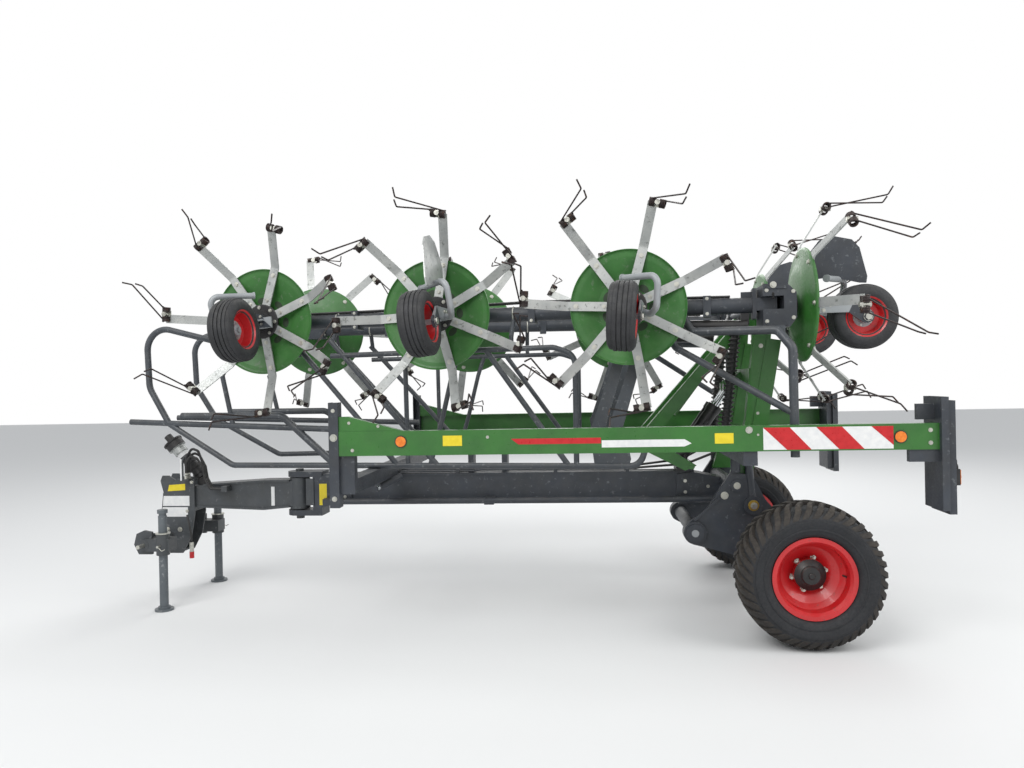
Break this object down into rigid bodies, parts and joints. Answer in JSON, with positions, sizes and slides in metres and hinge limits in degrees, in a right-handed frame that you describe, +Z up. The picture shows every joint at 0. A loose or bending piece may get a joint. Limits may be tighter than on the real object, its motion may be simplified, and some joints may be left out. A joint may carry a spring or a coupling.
{
  "type": "trailed hay tedder",
  "caption": "Trailed hay tedder folded for the road: spinning tine rotors on a hinged boom, castor wheels under each rotor, and a wheeled frame with drawbar and stands.",
  "frame": {"origin": "on the ground under the middle of the machine's bounding box", "axes": "+X to the rear, +Y to the machine's right, +Z up"},
  "size_m": [5.4466, 2.9511, 2.7649],
  "materials": {
    "dark_paint": "satin",
    "green_paint": "gloss",
    "black_paint": "gloss",
    "black_plastic": "matte",
    "lamp_red": "gloss",
    "red_paint": "gloss",
    "tyre_rubber": "matte",
    "small_tyre": "matte",
    "galvanised": "matte",
    "rotor_green": "satin",
    "hose_rubber": "matte"
  },
  "bodies": {
    "chassis": {"main_frame": "dark_paint", "axle_frame": "dark_paint", "cross_frame": "dark_paint", "side_beams": "green_paint", "end_boards": "dark_paint", "tail_lamps": "lamp_red", "lift_frame": "green_paint", "lift_cylinder": "black_paint", "hose_spiral": "black_plastic", "rear_boom": "dark_paint", "wing_boom_left": "dark_paint", "wing_boom_right": "dark_paint", "gearboxes": "dark_paint", "fold_cylinders": "dark_paint", "rear_guards": "dark_paint", "wing_guard_left": "dark_paint", "wing_guard_right": "dark_paint"},
    "wheel_left": {"rim_left": "red_paint", "tyre_left": "tyre_rubber"},
    "wheel_right": {"rim_right": "red_paint", "tyre_right": "tyre_rubber"},
    "drawbar_unit": {"drawbar": "dark_paint", "headstock": "dark_paint", "pto_shaft": "black_plastic", "hoses": "hose_rubber"},
    "stand_unit_left": {"stand_left": "galvanised"},
    "stand_unit_right": {"stand_right": "galvanised"},
    "rotor_unit_left_1": {"rotor_left_1": "rotor_green"},
    "rotor_unit_left_2": {"rotor_left_2": "rotor_green"},
    "rotor_unit_left_3": {"rotor_left_3": "rotor_green"},
    "rotor_unit_left_4": {"rotor_left_4": "rotor_green"},
    "rotor_unit_right_1": {"rotor_right_1": "rotor_green"},
    "rotor_unit_right_2": {"rotor_right_2": "rotor_green"},
    "rotor_unit_right_3": {"rotor_right_3": "rotor_green"},
    "rotor_unit_right_4": {"rotor_right_4": "rotor_green"},
    "castor_left_1": {"castor_arm_left_1": "galvanised"},
    "castor_roll_left_1": {"castor_wheel_left_1": "small_tyre"},
    "castor_left_2": {"castor_arm_left_2": "galvanised"},
    "castor_roll_left_2": {"castor_wheel_left_2": "small_tyre"},
    "castor_left_3": {"castor_arm_left_3": "galvanised"},
    "castor_roll_left_3": {"castor_wheel_left_3": "small_tyre"},
    "castor_left_4": {"castor_arm_left_4": "galvanised"},
    "castor_roll_left_4": {"castor_wheel_left_4": "small_tyre"},
    "castor_right_1": {"castor_arm_right_1": "galvanised"},
    "castor_roll_right_1": {"castor_wheel_right_1": "small_tyre"},
    "castor_right_2": {"castor_arm_right_2": "galvanised"},
    "castor_roll_right_2": {"castor_wheel_right_2": "small_tyre"},
    "castor_right_3": {"castor_arm_right_3": "galvanised"},
    "castor_roll_right_3": {"castor_wheel_right_3": "small_tyre"},
    "castor_right_4": {"castor_arm_right_4": "galvanised"},
    "castor_roll_right_4": {"castor_wheel_right_4": "small_tyre"}
  },
  "joints": [
    {"name": "wheel_left_spin", "type": "hinge", "parent": "chassis", "child": "wheel_left", "pos_m": [1.93, -1, 0.425], "axis": [0, 1, 0], "continuous": true},
    {"name": "wheel_right_spin", "type": "hinge", "parent": "chassis", "child": "wheel_right", "pos_m": [1.93, 1, 0.425], "axis": [0, 1, 0], "continuous": true},
    {"name": "drawbar_steer", "type": "hinge", "parent": "chassis", "child": "drawbar_unit", "pos_m": [-1.55, 0, 0.8], "axis": [0, 0, 1], "range_deg": [-30, 30]},
    {"name": "stand_left_slide", "type": "slide", "parent": "drawbar_unit", "child": "stand_unit_left", "axis": [0, 0, 1], "range_m": [0, 0.25]},
    {"name": "stand_right_slide", "type": "slide", "parent": "drawbar_unit", "child": "stand_unit_right", "axis": [0, 0, 1], "range_m": [0, 0.25]},
    {"name": "rotor_left_1_spin", "type": "hinge", "parent": "chassis", "child": "rotor_unit_left_1", "pos_m": [2.02, -0.625, 2.045], "axis": [1, 0, 0], "continuous": true},
    {"name": "rotor_left_2_spin", "type": "hinge", "parent": "chassis", "child": "rotor_unit_left_2", "pos_m": [0.91495, -0.85017, 2.045], "axis": [-0.1132, -0.9936, 0], "continuous": true},
    {"name": "rotor_left_3_spin", "type": "hinge", "parent": "chassis", "child": "rotor_unit_left_3", "pos_m": [-0.32701, -0.70867, 2.045], "axis": [-0.1132, -0.9936, 0], "continuous": true},
    {"name": "rotor_left_4_spin", "type": "hinge", "parent": "chassis", "child": "rotor_unit_left_4", "pos_m": [-1.56898, -0.56717, 2.045], "axis": [-0.1132, -0.9936, 0], "continuous": true},
    {"name": "rotor_right_1_spin", "type": "hinge", "parent": "chassis", "child": "rotor_unit_right_1", "pos_m": [2.02, 0.625, 2.045], "axis": [1, 0, 0], "continuous": true},
    {"name": "rotor_right_2_spin", "type": "hinge", "parent": "chassis", "child": "rotor_unit_right_2", "pos_m": [0.91495, 0.85017, 2.045], "axis": [-0.1132, 0.9936, 0], "continuous": true},
    {"name": "rotor_right_3_spin", "type": "hinge", "parent": "chassis", "child": "rotor_unit_right_3", "pos_m": [-0.32701, 0.70867, 2.045], "axis": [-0.1132, 0.9936, 0], "continuous": true},
    {"name": "rotor_right_4_spin", "type": "hinge", "parent": "chassis", "child": "rotor_unit_right_4", "pos_m": [-1.56898, 0.56717, 2.045], "axis": [-0.1132, 0.9936, 0], "continuous": true},
    {"name": "castor_left_1_swivel", "type": "hinge", "parent": "chassis", "child": "castor_left_1", "pos_m": [2.02, -0.625, 2.045], "axis": [1, 0, 0], "continuous": true},
    {"name": "castor_wheel_left_1_spin", "type": "hinge", "parent": "castor_left_1", "child": "castor_roll_left_1", "pos_m": [2.398, -0.62055, 1.96012], "axis": [0, -0.9986, -0.0523], "continuous": true},
    {"name": "castor_left_2_swivel", "type": "hinge", "parent": "chassis", "child": "castor_left_2", "pos_m": [0.91495, -0.85017, 2.045], "axis": [-0.1132, -0.9936, 0], "continuous": true},
    {"name": "castor_wheel_left_2_spin", "type": "hinge", "parent": "castor_left_2", "child": "castor_roll_left_2", "pos_m": [0.86627, -1.22507, 1.96021], "axis": [-0.9912, 0.1129, 0.0698], "continuous": true},
    {"name": "castor_left_3_swivel", "type": "hinge", "parent": "chassis", "child": "castor_left_3", "pos_m": [-0.32701, -0.70867, 2.045], "axis": [-0.1132, -0.9936, 0], "continuous": true},
    {"name": "castor_wheel_left_3_spin", "type": "hinge", "parent": "castor_left_3", "child": "castor_roll_left_3", "pos_m": [-0.35951, -1.08541, 1.96063], "axis": [-0.9862, 0.1124, -0.1219], "continuous": true},
    {"name": "castor_left_4_swivel", "type": "hinge", "parent": "chassis", "child": "castor_left_4", "pos_m": [-1.56898, -0.56717, 2.045], "axis": [-0.1132, -0.9936, 0], "continuous": true},
    {"name": "castor_wheel_left_4_spin", "type": "hinge", "parent": "castor_left_4", "child": "castor_roll_left_4", "pos_m": [-1.60441, -0.94358, 1.96032], "axis": [-0.9898, 0.1128, -0.0872], "continuous": true},
    {"name": "castor_right_1_swivel", "type": "hinge", "parent": "chassis", "child": "castor_right_1", "pos_m": [2.02, 0.625, 2.045], "axis": [1, 0, 0], "continuous": true},
    {"name": "castor_wheel_right_1_spin", "type": "hinge", "parent": "castor_right_1", "child": "castor_roll_right_1", "pos_m": [2.398, 0.62055, 1.96012], "axis": [0, 0.9986, -0.0523], "continuous": true},
    {"name": "castor_right_2_swivel", "type": "hinge", "parent": "chassis", "child": "castor_right_2", "pos_m": [0.91495, 0.85017, 2.045], "axis": [-0.1132, 0.9936, 0], "continuous": true},
    {"name": "castor_wheel_right_2_spin", "type": "hinge", "parent": "castor_right_2", "child": "castor_roll_right_2", "pos_m": [0.86627, 1.22507, 1.96021], "axis": [-0.9912, -0.1129, 0.0698], "continuous": true},
    {"name": "castor_right_3_swivel", "type": "hinge", "parent": "chassis", "child": "castor_right_3", "pos_m": [-0.32701, 0.70867, 2.045], "axis": [-0.1132, 0.9936, 0], "continuous": true},
    {"name": "castor_wheel_right_3_spin", "type": "hinge", "parent": "castor_right_3", "child": "castor_roll_right_3", "pos_m": [-0.35951, 1.08541, 1.96063], "axis": [-0.9862, -0.1124, -0.1219], "continuous": true},
    {"name": "castor_right_4_swivel", "type": "hinge", "parent": "chassis", "child": "castor_right_4", "pos_m": [-1.56898, 0.56717, 2.045], "axis": [-0.1132, 0.9936, 0], "continuous": true},
    {"name": "castor_wheel_right_4_spin", "type": "hinge", "parent": "castor_right_4", "child": "castor_roll_right_4", "pos_m": [-1.60441, 0.94358, 1.96032], "axis": [-0.9898, -0.1128, -0.0872], "continuous": true}
  ],
  "couplings": [
    {"joint": "rotor_left_2_spin", "follows": "rotor_left_1_spin", "ratio": -1},
    {"joint": "rotor_left_3_spin", "follows": "rotor_left_1_spin", "ratio": 1},
    {"joint": "rotor_left_4_spin", "follows": "rotor_left_1_spin", "ratio": -1},
    {"joint": "rotor_right_1_spin", "follows": "rotor_left_1_spin", "ratio": -1},
    {"joint": "rotor_right_2_spin", "follows": "rotor_left_1_spin", "ratio": 1},
    {"joint": "rotor_right_3_spin", "follows": "rotor_left_1_spin", "ratio": -1},
    {"joint": "rotor_right_4_spin", "follows": "rotor_left_1_spin", "ratio": 1}
  ]
}
